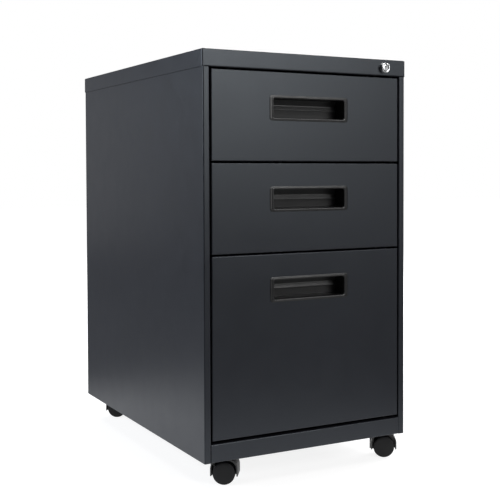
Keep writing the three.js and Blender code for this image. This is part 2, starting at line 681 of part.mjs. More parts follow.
for (const drawer of DRAWERS) {
  addPiece(`${drawer.name}_drawer_front`, drawerFront(drawer), 'powderCoat');
  addPiece(`${drawer.name}_drawer_body`, drawerBody(drawer), 'powderCoat');
  addPiece(`${drawer.name}_drawer_pull`, pull(drawer), 'blackPlastic');
  for (const [sideName, side] of [['left', -1], ['right', 1]]) {
    addPiece(`${drawer.name}_${sideName}_slide_rail`, slideRail(side, drawer), 'zincSteel');
    addPiece(`${drawer.name}_${sideName}_slide_runner`, slideRunner(side, drawer), 'zincSteel');
    if (drawer.name === 'file') {
      addPiece(`file_${sideName}_slide_middle`, slideMiddle(side, drawer), 'zincSteel');
      addPiece(`${sideName}_hanging_rail`, hangingRail(side, drawer), 'blackPlastic');
    }
  }
}
addPiece('pencil_tray', pencilTray(DRAWERS[0]), 'blackPlastic');

for (const [corner, { x, y }] of Object.entries(swivels())) {
  const caster = new THREE.Group();
  caster.position.set(x, y, 0);
  caster.rotation.z = -THREE.MathUtils.degToRad(CASTER_TURN[corner]);
  cabinet.add(caster);
  addPiece(`${corner}_caster_stem`, casterStem(), 'zincSteel', caster);
  addPiece(`${corner}_caster_hood`, casterHood(), 'blackPlastic', caster);
  addPiece(`${corner}_caster_axle`, casterAxle(), 'zincSteel', caster);
  for (const [wheelName, side] of [['outer', -1], ['inner', 1]]) {
    const wheel = new THREE.Group();
    wheel.position.set(CASTER_TRAIL, 0, WHEEL_RADIUS);
    caster.add(wheel);
    addPiece(`${corner}_${wheelName}_wheel`, casterWheel(side), 'wheelPlastic', wheel);
  }
}

export default cabinet;
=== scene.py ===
import json
import math

import bmesh
import bpy
from mathutils import Matrix, Vector


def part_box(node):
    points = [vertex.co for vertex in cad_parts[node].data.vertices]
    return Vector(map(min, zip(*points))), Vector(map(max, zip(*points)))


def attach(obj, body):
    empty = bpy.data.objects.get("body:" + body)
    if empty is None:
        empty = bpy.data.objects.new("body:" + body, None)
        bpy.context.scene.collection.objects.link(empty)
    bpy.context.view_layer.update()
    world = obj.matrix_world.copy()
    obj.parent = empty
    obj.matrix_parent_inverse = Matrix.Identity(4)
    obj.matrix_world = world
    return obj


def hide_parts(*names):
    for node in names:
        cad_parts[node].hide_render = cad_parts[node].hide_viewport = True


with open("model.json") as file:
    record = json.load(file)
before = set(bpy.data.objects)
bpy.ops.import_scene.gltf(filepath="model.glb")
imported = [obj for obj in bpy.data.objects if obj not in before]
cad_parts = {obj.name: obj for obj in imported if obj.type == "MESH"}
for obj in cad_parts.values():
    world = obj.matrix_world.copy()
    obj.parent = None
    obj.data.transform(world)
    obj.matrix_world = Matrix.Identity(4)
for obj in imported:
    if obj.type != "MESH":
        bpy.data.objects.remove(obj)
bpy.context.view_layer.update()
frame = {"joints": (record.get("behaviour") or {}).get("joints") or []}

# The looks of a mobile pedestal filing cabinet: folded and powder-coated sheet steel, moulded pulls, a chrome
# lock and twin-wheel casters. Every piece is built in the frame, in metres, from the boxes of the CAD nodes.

MM = 0.001

# ---- Dimensions of the finishing detail, in metres -------------------------------------------------------

SHEET = 1.0 * MM
GAP = 0.3 * MM
FRONT_PLAY = 2.7 * MM  # between a drawer front and the strips beside it
RAIL_PLAY = 5.0 * MM  # and between the lowest front and the rail
BEND = 1.9 * MM  # outer radius of the casing's folds
FRONT_BEND = 1.5 * MM  # and of the drawer fronts'
CUT_EDGE = 0.22 * MM  # rounding of cut sheet edges

DRAWERS = ("upper", "middle", "file")
SIDES = (("left", -1), ("right", 1))
CORNERS = ("front_left", "front_right", "rear_left", "rear_right")

# ---- Places from the frame -------------------------------------------------------------------------------

COVER_LOW, COVER_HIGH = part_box("top_cover")
PANEL_LOW, PANEL_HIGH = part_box("right_side_panel")
PAN_LOW, PAN_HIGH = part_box("bottom_pan")
BACK_LOW, BACK_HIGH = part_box("back_panel")
FRONT = PAN_LOW.y  # the plane of the drawer fronts
STRIP_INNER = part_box("upper_drawer_front")[1].x + FRONT_PLAY
RAIL_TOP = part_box("file_drawer_front")[0].z - RAIL_PLAY


# ---- Shapes ----------------------------------------------------------------------------------------------

def placed(axis, u, v, w):
    """A point whose place along axis is w, and in the plane across it is (u, v)."""
    return {"x": (w, u, v), "y": (u, w, v), "z": (u, v, w)}[axis]


def skinned(shape, loops):
    """A shape closed by walls from each loop of its points to the next, and by a cap at each end."""
    shape.faces.new(loops[0])
    shape.faces.new(loops[-1][::-1])
    for first, second in zip(loops, loops[1:]):
        for k in range(len(first)):
            n = (k + 1) % len(first)
            shape.faces.new((first[k], second[k], second[n], first[n]))
    bmesh.ops.recalc_face_normals(shape, faces=shape.faces)
    return shape


def prism(outline, axis, span):
    """An outline in the plane across axis, as long as span."""
    shape = bmesh.new()
    return skinned(shape, [[shape.verts.new(placed(axis, u, v, w)) for u, v in outline] for w in span])


def block(x, y, z):
    return prism([(x[0], y[0]), (x[1], y[0]), (x[1], y[1]), (x[0], y[1])], "z", z)


def rounded_block(x, y, z, radius, is_rounded, segments=4):
    """A block with the edges that is_rounded picks by their middle point and direction rounded over."""
    shape = block(x, y, z)
    edges = []
    for edge in shape.edges:
        ends = [v.co for v in edge.verts]
        middle = (ends[0] + ends[1]) / 2
        along = max(range(3), key=lambda i: abs(ends[1][i] - ends[0][i]))
        if is_rounded(middle, "xyz"[along]):
            edges.append(edge)
    bmesh.ops.bevel(
        shape, geom=edges, offset=radius, offset_type="OFFSET", segments=segments, profile=0.5,
        affect="EDGES", clamp_overlap=True,
    )
    bmesh.ops.recalc_face_normals(shape, faces=shape.faces)
    return shape


def lathe(profile, centre, axis=(0, 1, 0), segments=48):
    """A body of revolution about axis through centre. The profile is (radius, height along axis)."""
    axis = Vector(axis).normalized()
    across = axis.orthogonal().normalized()
    third = axis.cross(across)
    shape = bmesh.new()
    rings = []
    for radius, height in profile:
        middle = Vector(centre) + axis * height
        if radius < 1e-7:
            rings.append([shape.verts.new(middle)])
            continue
        ring = []
        for k in range(segments):
            angle = 2 * math.pi * k / segments
            spoke = across * math.cos(angle) + third * math.sin(angle)
            ring.append(shape.verts.new(middle + spoke * radius))
        rings.append(ring)
    closed = len(rings[0]) > 1
    pairs = list(zip(rings, rings[1:])) + ([(rings[-1], rings[0])] if closed else [])
    for first, second in pairs:
        for k in range(segments):
            n = (k + 1) % segments
            corners = []
            for vertex in (first[k % len(first)], first[n % len(first)], second[n % len(second)],
                           second[k % len(second)]):
                if vertex not in corners:
                    corners.append(vertex)
            if len(corners) > 2:
                shape.faces.new(corners)
    bmesh.ops.recalc_face_normals(shape, faces=shape.faces)
    return shape


def round_bar(radius, span, centre, axis=(0, 1, 0), segments=48):
    """A round bar about axis through centre, as long as span."""
    return lathe([(0, span[0]), (radius, span[0]), (radius, span[1]), (0, span[1])], centre, axis, segments)


def arc(centre, radius, start, end, steps):
    """Points on an arc, with the angles in degrees."""
    points = []
    for k in range(steps + 1):
        angle = math.radians(start + (end - start) * k / steps)
        points.append((centre[0] + radius * math.cos(angle), centre[1] + radius * math.sin(angle)))
    return points


def rounded_rectangle(width, height, radius, centre=(0, 0), steps=8):
    points = []
    for sx, sz, start in ((1, 1, 0), (-1, 1, 90), (-1, -1, 180), (1, -1, 270)):
        middle = (centre[0] + sx * (width / 2 - radius), centre[1] + sz * (height / 2 - radius))
        points += arc(middle, radius, start, start + 90, steps)
    return points


def fold(path, thickness, radius, steps=5):
    """The section of a sheet folded along path, on the path's left. radius is each bend's outer one."""
    near, far = [], []
    last = len(path) - 1
    points = [Vector(p) for p in path]
    for i, point in enumerate(points):
        into = (point - points[i - 1]).normalized() if i else (points[1] - point).normalized()
        out = (points[i + 1] - point).normalized() if i < last else into
        left = Vector((-into.y, into.x))
        if i in (0, last):
            near.append(point)
            far.append(point + left * thickness)
            continue
        turn = math.atan2(into.x * out.y - into.y * out.x, into.dot(out))
        side = math.copysign(1, turn)
        near_radius, far_radius = (radius, radius - thickness) if side > 0 else (radius - thickness, radius)
        centre = point - into * near_radius * math.tan(abs(turn) / 2) + left * side * near_radius
        for k in range(steps + 1):
            spoke = -left * side
            spoke.rotate(Matrix.Rotation(turn * k / steps, 2))
            near.append(centre + spoke * near_radius)
            far.append(centre + spoke * far_radius)
    return [tuple(p) for p in near + far[::-1]]


def mirrored(shape, side):
    """A shape drawn for the right side, put on the left one if side is -1."""
    if side < 0:
        bmesh.ops.scale(shape, vec=(-1, 1, 1), verts=shape.verts)
        bmesh.ops.reverse_faces(shape, faces=shape.faces)
    return shape


def meshed(shape, name="shape"):
    """A shape's mesh. It uses the shape up."""
    mesh = bpy.data.meshes.new(name)
    shape.to_mesh(mesh)
    shape.free()
    return mesh


def boolean(first, second, operation):
    """Joins (UNION) or cuts (DIFFERENCE) two shapes, and uses both up."""
    solids = []
    for shape in (first, second):
        solid = bpy.data.objects.new("shape", meshed(shape))
        bpy.context.scene.collection.objects.link(solid)
        solids.append(solid)
    modifier = solids[0].modifiers.new("boolean", "BOOLEAN")
    modifier.operation = operation
    modifier.object = solids[1]
    modifier.solver = "EXACT"
    evaluated = solids[0].evaluated_get(bpy.context.evaluated_depsgraph_get())
    result = bmesh.new()
    result.from_mesh(evaluated.to_mesh())
    evaluated.to_mesh_clear()
    for solid in solids:
        mesh = solid.data
        bpy.data.objects.remove(solid)
        bpy.data.meshes.remove(mesh)
    return result


def join(first, *others):
    for other in others:
        first = boolean(first, other, "UNION")
    return first


def cut(first, *others):
    for other in others:
        first = boolean(first, other, "DIFFERENCE")
    return first


def together(*shapes):
    """Several closed bodies as one shape, each left whole."""
    whole = bmesh.new()
    for shape in shapes:
        mesh = meshed(shape)
        whole.from_mesh(mesh)
        bpy.data.meshes.remove(mesh)
    return whole


def soften(piece, width, segments=2, angle=32):
    """Rounds a piece's sharp edges a little, as every real edge is."""
    bevel = piece.modifiers.new("edges", "BEVEL")
    bevel.limit_method = "ANGLE"
    bevel.angle_limit = math.radians(angle)
    bevel.width = width
    bevel.segments = segments
    bevel.use_clamp_overlap = True
    bevel.miter_outer = "MITER_ARC"
    normals = piece.modifiers.new("normals", "WEIGHTED_NORMAL")
    normals.keep_sharp = True
    normals.weight = 80


def folded_tray(side, y, z, is_bend):
    """A tray of folded sheet, open at the front and at the top."""
    outside = rounded_block((-side, side), y, z, BEND, is_bend)
    inside = rounded_block(
        (SHEET - side, side - SHEET), (y[0] - 5 * MM, y[1] - SHEET), (z[0] + SHEET, z[1] + 5 * MM),
        BEND - SHEET, is_bend, 3,
    )
    return cut(outside, inside)


def add_piece(name, shape, material, body, replaced=(), soft=CUT_EDGE, angle=32):
    """Puts a shape in the scene as a piece that rides on a body and stands for the replaced CAD nodes."""
    bmesh.ops.remove_doubles(shape, verts=shape.verts, dist=1e-6)
    for face in shape.faces:
        face.smooth = True
    for edge in shape.edges:
        edge.smooth = edge.calc_face_angle(0) < math.radians(angle)
    mesh = meshed(shape, name)
    mesh.materials.append(MATERIALS[material])
    piece = bpy.data.objects.new(name, mesh)
    bpy.context.scene.collection.objects.link(piece)
    if soft:
        soften(piece, soft, angle=angle)
    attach(piece, body)
    if replaced:
        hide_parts(*replaced)


# ---- Materials -------------------------------------------------------------------------------------------

def node_material(name, colour, roughness, metallic):
    material = bpy.data.materials.new(name)
    material.use_nodes = True
    tree = material.node_tree
    shader = tree.nodes["Principled BSDF"]
    feed(tree, shader, {"Base Color": (*colour, 1), "Roughness": roughness, "Metallic": metallic})
    return material, tree, shader


def feed(tree, node, inputs):
    """Sets a node's inputs: each is linked if it is given a socket, and constant if not."""
    for name, value in inputs.items():
        if isinstance(value, bpy.types.NodeSocket):
            tree.links.new(value, node.inputs[name])
        else:
            node.inputs[name].default_value = value


def linked(tree, kind, inputs, **settings):
    """A new node of a kind, with its properties and inputs set."""
    node = tree.nodes.new(f"ShaderNode{kind}")
    for name, value in settings.items():
        setattr(node, name, value)
    feed(tree, node, inputs)
    return node


def noise(tree, scale, detail=3.0, stretch=(1, 1, 1), roughness=0.5):
    """Noise in the piece's own coordinates, with scale in features per metre."""
    place = linked(tree, "TexCoord", {})
    mapping = linked(tree, "Mapping", {"Vector": place.outputs["Object"], "Scale": stretch})
    sizes = {"Scale": scale, "Detail": detail, "Roughness": roughness}
    return linked(tree, "TexNoise", {"Vector": mapping.outputs["Vector"], **sizes}).outputs["Fac"]


def ranged(tree, value, low, high, start=0.3, end=0.7):
    """value from start to end, spread from low to high."""
    limits = {"From Min": start, "From Max": end, "To Min": low, "To Max": high}
    return linked(tree, "MapRange", {"Value": value, **limits}).outputs["Result"]


def mixed(tree, factor, first, second):
    """A colour between first and second, which are colours or sockets."""
    ends = [c if isinstance(c, bpy.types.NodeSocket) else (*c, 1) for c in (first, second)]
    return linked(tree, "Mix", {"Factor": factor, 6: ends[0], 7: ends[1]}, data_type="RGBA").outputs[2]


def bump(tree, height, distance, strength=1.0, normal=None):
    """A bump whose height of 1 is distance metres deep."""
    inputs = {"Height": height, "Distance": distance, "Strength": strength}
    if normal is not None:
        inputs["Normal"] = normal
    return linked(tree, "Bump", inputs).outputs["Normal"]


def scaled(colour, factor):
    return tuple(c * factor for c in colour)


def powder_coat(name, colour):
    """Satin powder coat: slight orange peel, a cloudy gloss and a little colour drift."""
    material, tree, shader = node_material(name, colour, 0.33, 0)
    clouds = noise(tree, 7, 2)
    grain = noise(tree, 420, 4, roughness=0.65)
    drift = mixed(tree, ranged(tree, clouds, 0, 1), scaled(colour, 0.93), scaled(colour, 1.08))
    speckled = mixed(tree, ranged(tree, grain, 0, 0.5, 0.35, 0.7), drift, scaled(colour, 1.3))
    peel = bump(tree, noise(tree, 330, 2), 0.05 * MM, 0.55)
    fine = bump(tree, noise(tree, 1500, 2), 0.02 * MM, 0.5, peel)
    gloss = ranged(tree, noise(tree, 26, 3), 0.31, 0.35)
    feed(tree, shader, {"Base Color": speckled, "Roughness": gloss, "Normal": fine})
    feed(tree, shader, {"Specular IOR Level": 0.65, "Specular Tint": (0.85, 0.93, 1.0, 1)})
    return material


def moulded_plastic(name, colour, roughness, specular, texture_scale):
    """Black moulded plastic with the fine grain of a spark-eroded mould."""
    material, tree, shader = node_material(name, colour, roughness, 0)
    drift = mixed(tree, ranged(tree, noise(tree, 40, 3), 0, 1), scaled(colour, 0.85), scaled(colour, 1.2))
    worn = ranged(tree, noise(tree, 90, 4), roughness - 0.05, roughness + 0.07)
    grain = bump(tree, noise(tree, texture_scale, 3, roughness=0.6), 0.04 * MM, 0.5)
    feed(tree, shader, {"Base Color": drift, "Roughness": worn, "Normal": grain})
    feed(tree, shader, {"Specular IOR Level": specular})
    return material


def plated_steel(name, colour, roughness, streak):
    """Zinc-plated or chromed steel: streaks along the rolling direction and a faintly mottled gloss."""
    material, tree, shader = node_material(name, colour, roughness, 1)
    streaks = noise(tree, 60, 4, (12, 0.5, 12), 0.6)
    drift = mixed(tree, ranged(tree, streaks, 0, 1), scaled(colour, 1 - streak), colour)
    blotches = ranged(tree, noise(tree, 130, 4), roughness * 0.8, roughness * 1.35)
    brushed = bump(tree, streaks, 0.01 * MM, 0.3)
    feed(tree, shader, {"Base Color": drift, "Roughness": blotches, "Normal": brushed})
    return material


def cast_iron(name, colour):
    material, tree, shader = node_material(name, colour, 0.75, 0.3)
    pitted = noise(tree, 320, 6, roughness=0.7)
    drift = mixed(tree, ranged(tree, pitted, 0, 1), scaled(colour, 0.6), scaled(colour, 1.6))
    feed(tree, shader, {"Base Color": drift, "Normal": bump(tree, pitted, 0.3 * MM, 0.8)})
    return material


MATERIALS = {
    "powder_coat": powder_coat("powder_coat", (0.0155, 0.0161, 0.021)),
    "black_plastic": moulded_plastic("black_plastic", (0.0045, 0.0045, 0.005), 0.36, 0.85, 1600),
    "wheel_plastic": moulded_plastic("wheel_plastic", (0.0075, 0.0075, 0.0085), 0.42, 0.35, 900),
    "chrome": plated_steel("chrome", (0.86, 0.87, 0.88), 0.09, 0.06),
    "zinc_steel": plated_steel("zinc_steel", (0.56, 0.57, 0.58), 0.3, 0.25),
    "cast_iron": cast_iron("cast_iron", (0.02, 0.02, 0.021)),
}


# ---- Casing ----------------------------------------------------------------------------------------------

LOCK_RADIUS = 8.3 * MM


def lock_centre():
    low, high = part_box("lock_housing")
    return (low.x + high.x) / 2, (low.z + high.z) / 2


def top_cover():
    """The top and its skirts, with a mitred seam on each side at the front, and the header's lip."""
    low, high = COVER_LOW, COVER_HIGH
    lip_depth = 14 * MM
    lip_height = 4 * MM
    lip_x = PANEL_HIGH.x - SHEET - GAP

    def is_bend(middle, along):
        return along == "z" or middle.z > high.z - MM

    outside = rounded_block((low.x, high.x), (low.y, high.y), (low.z, high.z), BEND, is_bend, 5)
    inside = rounded_block(
        (low.x + SHEET, high.x - SHEET), (low.y + SHEET, high.y - SHEET), (low.z - 5 * MM, high.z - SHEET),
        BEND - SHEET, is_bend, 3,
    )
    shell = cut(outside, inside)
    lip_room = (low.y - MM, low.y + SHEET + 0.2 * MM)
    shell = cut(shell, block((-lip_x, lip_x), lip_room, (low.z - MM, low.z + 3 * MM)))
    lip = fold(
        [
            (low.y, low.z + 3.05 * MM), (low.y, low.z), (low.y + lip_depth, low.z),
            (low.y + lip_depth, low.z + lip_height),
        ],
        SHEET, BEND,
    )
    shell = join(shell, prism(lip, "x", (-lip_x, lip_x)))
    x, z = lock_centre()
    shell = cut(shell, round_bar(LOCK_RADIUS + GAP, (-2 * MM, 3 * MM), (x, low.y, z)))
    seam_width = 0.4 * MM
    seam_depth = 0.45 * MM
    for side in (-1, 1):
        top = Vector((low.y + 1.7 * MM, high.z))
        end = Vector((low.y + 19.5 * MM, high.z - 18 * MM))
        along = (end - top).normalized()
        across = Vector((-along.y, along.x)) * seam_width / 2
        outline = [tuple(p) for p in (top - across, end - across, end + across, top + across)]
        face = side * high.x
        span = sorted((face - side * seam_depth, face + side * MM))
        shell = cut(shell, prism(outline, "x", span))
    add_piece("cover_shell", shell, "powder_coat", "cabinet", ["top_cover"])


def side_panel(name, side):
    """A side, folded round into the front strip and into flanges at the back and the bottom."""
    outer = PANEL_HIGH.x
    flange = 14 * MM
    depth = 14 * MM
    back = PANEL_HIGH.y
    strip_top = COVER_LOW.z - GAP
    low = PANEL_LOW.z
    around = [
        (STRIP_INNER, FRONT + depth), (STRIP_INNER, FRONT), (outer, FRONT), (outer, back),
        (outer - flange, back),
    ]
    under_skirt = [(outer, FRONT + SHEET + GAP), (outer, back), (outer - flange, back)]
    shell = prism(fold(around, SHEET, BEND), "z", (low, strip_top))
    shell = join(shell, prism(fold(under_skirt, SHEET, BEND), "z", (strip_top - 0.01 * MM, PANEL_HIGH.z)))
    foot_y = (FRONT + depth + SHEET, back - SHEET / 2)
    foot = block((outer - flange, outer - SHEET / 2), foot_y, (low, low + SHEET))
    shell = join(shell, foot)
    shell = mirrored(shell, side)
    add_piece(f"{name}_panel_shell", shell, "powder_coat", "cabinet", [f"{name}_side_panel"])


def back_panel():
    """The back: a sheet with a shallow pressed field that stiffens it, and the marks of its spot welds."""
    low, high = BACK_LOW, BACK_HIGH
    border = 34 * MM
    press = 1.6 * MM
    slope = 3 * MM
    corner = 12 * MM
    middle_z = (low.z + COVER_LOW.z) / 2
    width = high.x - low.x - 2 * border
    height = COVER_LOW.z - low.z - 2 * border

    def field(face):
        """The pressed field, from a little behind a face of the sheet to its floor."""
        return rounded_plug([
            (width, height, corner, face + MM / 2), (width, height, corner, face),
            (width - 2 * slope, height - 2 * slope, corner - slope / 2, face - press),
        ], middle_z)

    sheet = block((low.x, high.x), (low.y, high.y), (low.z, high.z))
    sheet = cut(join(sheet, field(low.y)), field(high.y))
    weld_count = 9
    margin = 30 * MM
    pitch = (COVER_LOW.z - low.z - 2 * margin) / (weld_count - 1)
    welds = [
        weld_mark((side * (high.x - 8 * MM), high.y, low.z + margin + k * pitch))
        for side in (-1, 1) for k in range(weld_count)
    ]
    add_piece("back_shell", cut(sheet, together(*welds)), "powder_coat", "cabinet", ["back_panel"])


def weld_mark(place):
    """The shallow round hollow that a spot weld leaves, as a shape to cut from a face that looks to +Y."""
    radius = 2.6 * MM
    depth = 0.22 * MM
    return lathe(
        [(0, -depth), (radius * 0.6, -depth * 0.9), (radius, 0.02 * MM), (radius, 0.5 * MM), (0, 0.5 * MM)],
        place, segments=20,
    )


def rounded_plug(loops, middle_z):
    """A body through rounded rectangles (width, height, radius, y) across the Y axis."""
    shape = bmesh.new()
    rings = []
    for width, height, radius, y in loops:
        outline = rounded_rectangle(width, height, radius, (0, middle_z), 6)
        rings.append([shape.verts.new((u, y, v)) for u, v in outline])
    return skinned(shape, rings)


UP = (0, 0, 1)
STEM_RADIUS = 4 * MM


def bottom_pan():
    """The pan under the drawers, whose front edge is folded up as the bottom rail, with the caster seats."""
    side = PAN_HIGH.x
    rail_x = STRIP_INNER - GAP
    floor = PANEL_LOW.z + SHEET + GAP
    back = PAN_HIGH.y
    front = FRONT + 16 * MM
    edge = 20 * MM
    shelf = FRONT + 18 * MM
    section = [
        (shelf, RAIL_TOP - 9 * MM), (shelf, RAIL_TOP), (FRONT, RAIL_TOP), (FRONT, PAN_LOW.z),
        (FRONT + 11.5 * MM, PAN_LOW.z), (FRONT + 13.5 * MM, floor), (front + 2 * MM, floor),
    ]
    rail = prism(fold(section, SHEET, BEND), "x", (-rail_x, rail_x))

    def is_bend(middle, along):
        return along == "z" or middle.z < floor + MM

    pan = join(folded_tray(side, (front, back), (floor, floor + edge), is_bend), rail)
    seats = []
    for corner in CORNERS:
        x, y = swivel_of(corner)
        pan = cut(pan, round_bar(STEM_RADIUS + GAP, (-3 * MM, 3 * MM), (x, y, floor), UP, 24))
        seats.append(lathe(
            [
                (4.35 * MM, 0.3 * MM), (9 * MM, 0.3 * MM), (9 * MM, 6.2 * MM), (8.3 * MM, 7 * MM),
                (4.9 * MM, 7 * MM), (4.35 * MM, 6.4 * MM),
            ],
            (x, y, floor), UP, 32,
        ))
    add_piece("pan_shell", together(pan, *seats), "powder_coat", "cabinet", ["bottom_pan"])


# ---- Drawers ---------------------------------------------------------------------------------------------

POCKET_WIDTH = 132 * MM
POCKET_HEIGHT = 31 * MM
PULL_WALL = 1.3 * MM
BEAD = 3.4 * MM  # width of the rounded bead round a pull's pocket
SLIDE_SHEET = 1.2 * MM
BAR_GUIDE_HEIGHTS = (138 * MM, 500 * MM)
BAR_BELOW_POCKET = 9.5 * MM  # top of the finger bar below the top of the pocket


def drawer_front(drawer):
    """A front: a shallow pan with rounded folds, its edges turned in behind, cut out for the pull."""
    low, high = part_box(f"{drawer}_drawer_front")
    turn = 9 * MM
    pull_low, pull_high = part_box(f"{drawer}_drawer_pull")
    pull_z = (pull_low.z + pull_high.z) / 2

    def is_bend(middle, along):
        return along == "y" or middle.y < low.y + MM

    outside = rounded_block((low.x, high.x), (low.y, high.y), (low.z, high.z), FRONT_BEND, is_bend, 5)
    hollow = rounded_block(
        (low.x + SHEET, high.x - SHEET), (low.y + SHEET, high.y - SHEET), (low.z + SHEET, high.z - SHEET),
        FRONT_BEND - SHEET, is_bend, 2,
    )
    mouth = block((low.x + turn, high.x - turn), (low.y + 5 * MM, high.y + MM), (low.z + turn, high.z - turn))
    room = 2 * (PULL_WALL + GAP)
    outline = rounded_rectangle(POCKET_WIDTH + room, POCKET_HEIGHT + room, 4.3 * MM, (0, pull_z))
    opening = prism(outline, "y", (low.y - MM, low.y + 3 * MM))
    shell = cut(cut(cut(outside, hollow), mouth), opening)
    add_piece(f"{drawer}_front_shell", shell, "powder_coat", f"{drawer}_drawer", [f"{drawer}_drawer_front"])


def drawer_pull(drawer):
    """A moulded pull: a bezel with a rounded bead round a drafted pocket, and a bar across its back."""
    low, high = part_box(f"{drawer}_drawer_pull")
    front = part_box(f"{drawer}_drawer_front")[0].y
    middle_z = (low.z + high.z) / 2
    width = high.x - low.x
    height = high.z - low.z
    face = low.y
    floor = high.y - PULL_WALL
    shape = bmesh.new()
    loops = []

    def ring(from_pocket, corner, y, share=1.0):
        """A loop that lies from_pocket outside the pocket's edge, or at a share of the way out from there."""
        rim_x = (width - POCKET_WIDTH) / 2
        rim_z = (height - POCKET_HEIGHT) / 2
        out_x = from_pocket + (rim_x - from_pocket) * (1 - share)
        out_z = from_pocket + (rim_z - from_pocket) * (1 - share)
        outline = rounded_rectangle(
            POCKET_WIDTH + 2 * out_x, POCKET_HEIGHT + 2 * out_z, corner, (0, middle_z), 7,
        )
        loops.append([shape.verts.new((u, y, v)) for u, v in outline])

    # Round the section: the pocket's outside, the bezel's back, its edge, the bead, and the pocket's inside.
    outside = 4 * MM
    edge = 5 * MM
    level = face + 0.8 * MM  # of the flat part outside the bead
    ring(PULL_WALL - 0.2 * MM, outside, high.y)
    ring(PULL_WALL, outside, high.y - MM)
    ring(PULL_WALL, outside, front - GAP)
    ring(0, edge - 0.2 * MM, front - GAP, 0.03)
    ring(0, edge, front - GAP - 0.15 * MM, 0)
    ring(0, edge, front - 0.55 * MM, 0)
    ring(0, edge - 0.1 * MM, front - 0.7 * MM, 0.04)
    ring(BEAD, edge - 1.2 * MM, level)
    bead_steps = 5
    for k in range(1, bead_steps + 1):
        angle = math.radians(90 * k / bead_steps)
        from_pocket = BEAD - BEAD / 2 * (1 - math.cos(angle))
        ring(from_pocket, edge - 1.4 * MM, level - (level - face) * math.sin(angle))
    for k in range(1, bead_steps + 1):
        angle = math.radians(90 * k / bead_steps)
        ring(BEAD / 2 * (1 - math.sin(angle)), 3.2 * MM, face + BEAD / 2 * (1 - math.cos(angle)))
    fillet = 1.6 * MM
    draft = 0.5 * MM
    ring(-draft, 3 * MM, floor - fillet)
    for k in range(1, 4):
        angle = math.radians(30 * k)
        inset = fillet * (1 - math.cos(angle))
        ring(-draft - inset, 3 * MM - 0.6 * inset, floor - fillet * (1 - math.sin(angle)))
    shape = skinned(shape, loops)

    # A shoulder hollows back to the bar, which leans out as it comes down to a rounded nose, undercut below.
    top = middle_z + POCKET_HEIGHT / 2
    bar_top = top - BAR_BELOW_POCKET
    bar_height = 6.4 * MM
    bar_reach = 2.2 * MM
    nose = 0.8 * MM
    back = floor + PULL_WALL / 2
    root = floor - 0.4 * MM
    section = [(back, top), (root - 4 * MM, top), (root - 0.6 * MM, bar_top + 1.5 * MM), (root, bar_top)]
    steps = 6
    for k in range(1, steps + 1):
        share = k / steps
        section.append((root - bar_reach * share ** 1.15, bar_top - bar_height * share))
    section += arc((section[-1][0] + 0.1 * MM, section[-1][1] - nose), nose, 110, 262, 6)
    section += [(root + 0.2 * MM, top - POCKET_HEIGHT + 1.5 * MM), (back, top - POCKET_HEIGHT + 1.5 * MM)]
    half = POCKET_WIDTH / 2 + 0.4 * MM
    bar = prism(section, "x", (-half, half))
    add_piece(
        f"{drawer}_pull_moulding", together(shape, bar), "black_plastic", f"{drawer}_drawer",
        [f"{drawer}_drawer_pull"], soft=None, angle=40,
    )


def drawer_body(drawer):
    """An open box of folded sheet, hemmed along its top, with an inner front wall and a catch."""
    low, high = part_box(f"{drawer}_drawer_body")
    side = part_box(f"{drawer}_right_slide_runner")[0].x - GAP
    liner = low.y + 13.7 * MM
    has_side_hems = drawer != "file"  # its sides carry the hanging rails instead

    def is_bend(middle, along):
        return middle.z < low.z + 2 * MM or (along == "z" and middle.y > high.y - 2 * MM)

    shell = folded_tray(side, (low.y, high.y), (low.z, high.z), is_bend)
    wall_x = side - SHEET / 2
    parts = [block((-wall_x, wall_x), (liner, liner + SHEET), (low.z + SHEET / 2, high.z - 0.4 * MM))]
    hem = rounded_rectangle(2.2 * MM, 7 * MM, 1.05 * MM, (0, high.z - 3.5 * MM), 4)
    hem_y = high.y - SHEET / 2
    for y in (hem_y, liner + SHEET / 2):
        parts.append(prism([(y + u, v) for u, v in hem], "x", (-wall_x, wall_x)))
    if has_side_hems:
        for x in (-wall_x, wall_x):
            parts.append(prism([(x + u, v) for u, v in hem], "y", (low.y, hem_y)))
    for sign in (-1, 1):
        flange = block((wall_x, high.x), (low.y, low.y + SHEET), (low.z, high.z))
        parts.append(mirrored(flange, sign))
    catch_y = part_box("lock_bar")[1].y + MM
    catch_z = catch_bottom(drawer)
    parts.append(block((wall_x, high.x), (catch_y, catch_y + 2 * MM), (catch_z, catch_z + 8 * MM)))
    add_piece(
        f"{drawer}_body_shell", join(shell, *parts), "powder_coat", f"{drawer}_drawer",
        [f"{drawer}_drawer_body"],
    )


def catch_bottom(drawer):
    """The underside of a drawer's catch for the lock bar."""
    low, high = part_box(f"{drawer}_right_slide_runner")
    return (low.z + high.z) / 2 + (36 if drawer == "file" else 30) * MM


def channel(web, mouth, middle_z, height, lip):
    """The section of a slide member, from its upright web to its mouth, in the plane across Y."""
    low, high = middle_z - height / 2, middle_z + height / 2
    corners = [(mouth, low), (web, low), (web, high), (mouth, high)]
    if lip:
        corners = [(mouth, low + lip), *corners, (mouth, high - lip)]
    if web < mouth:
        corners = [(u, 2 * middle_z - v) for u, v in corners]
    return fold(corners, SLIDE_SHEET, 2 * SLIDE_SHEET, 4)


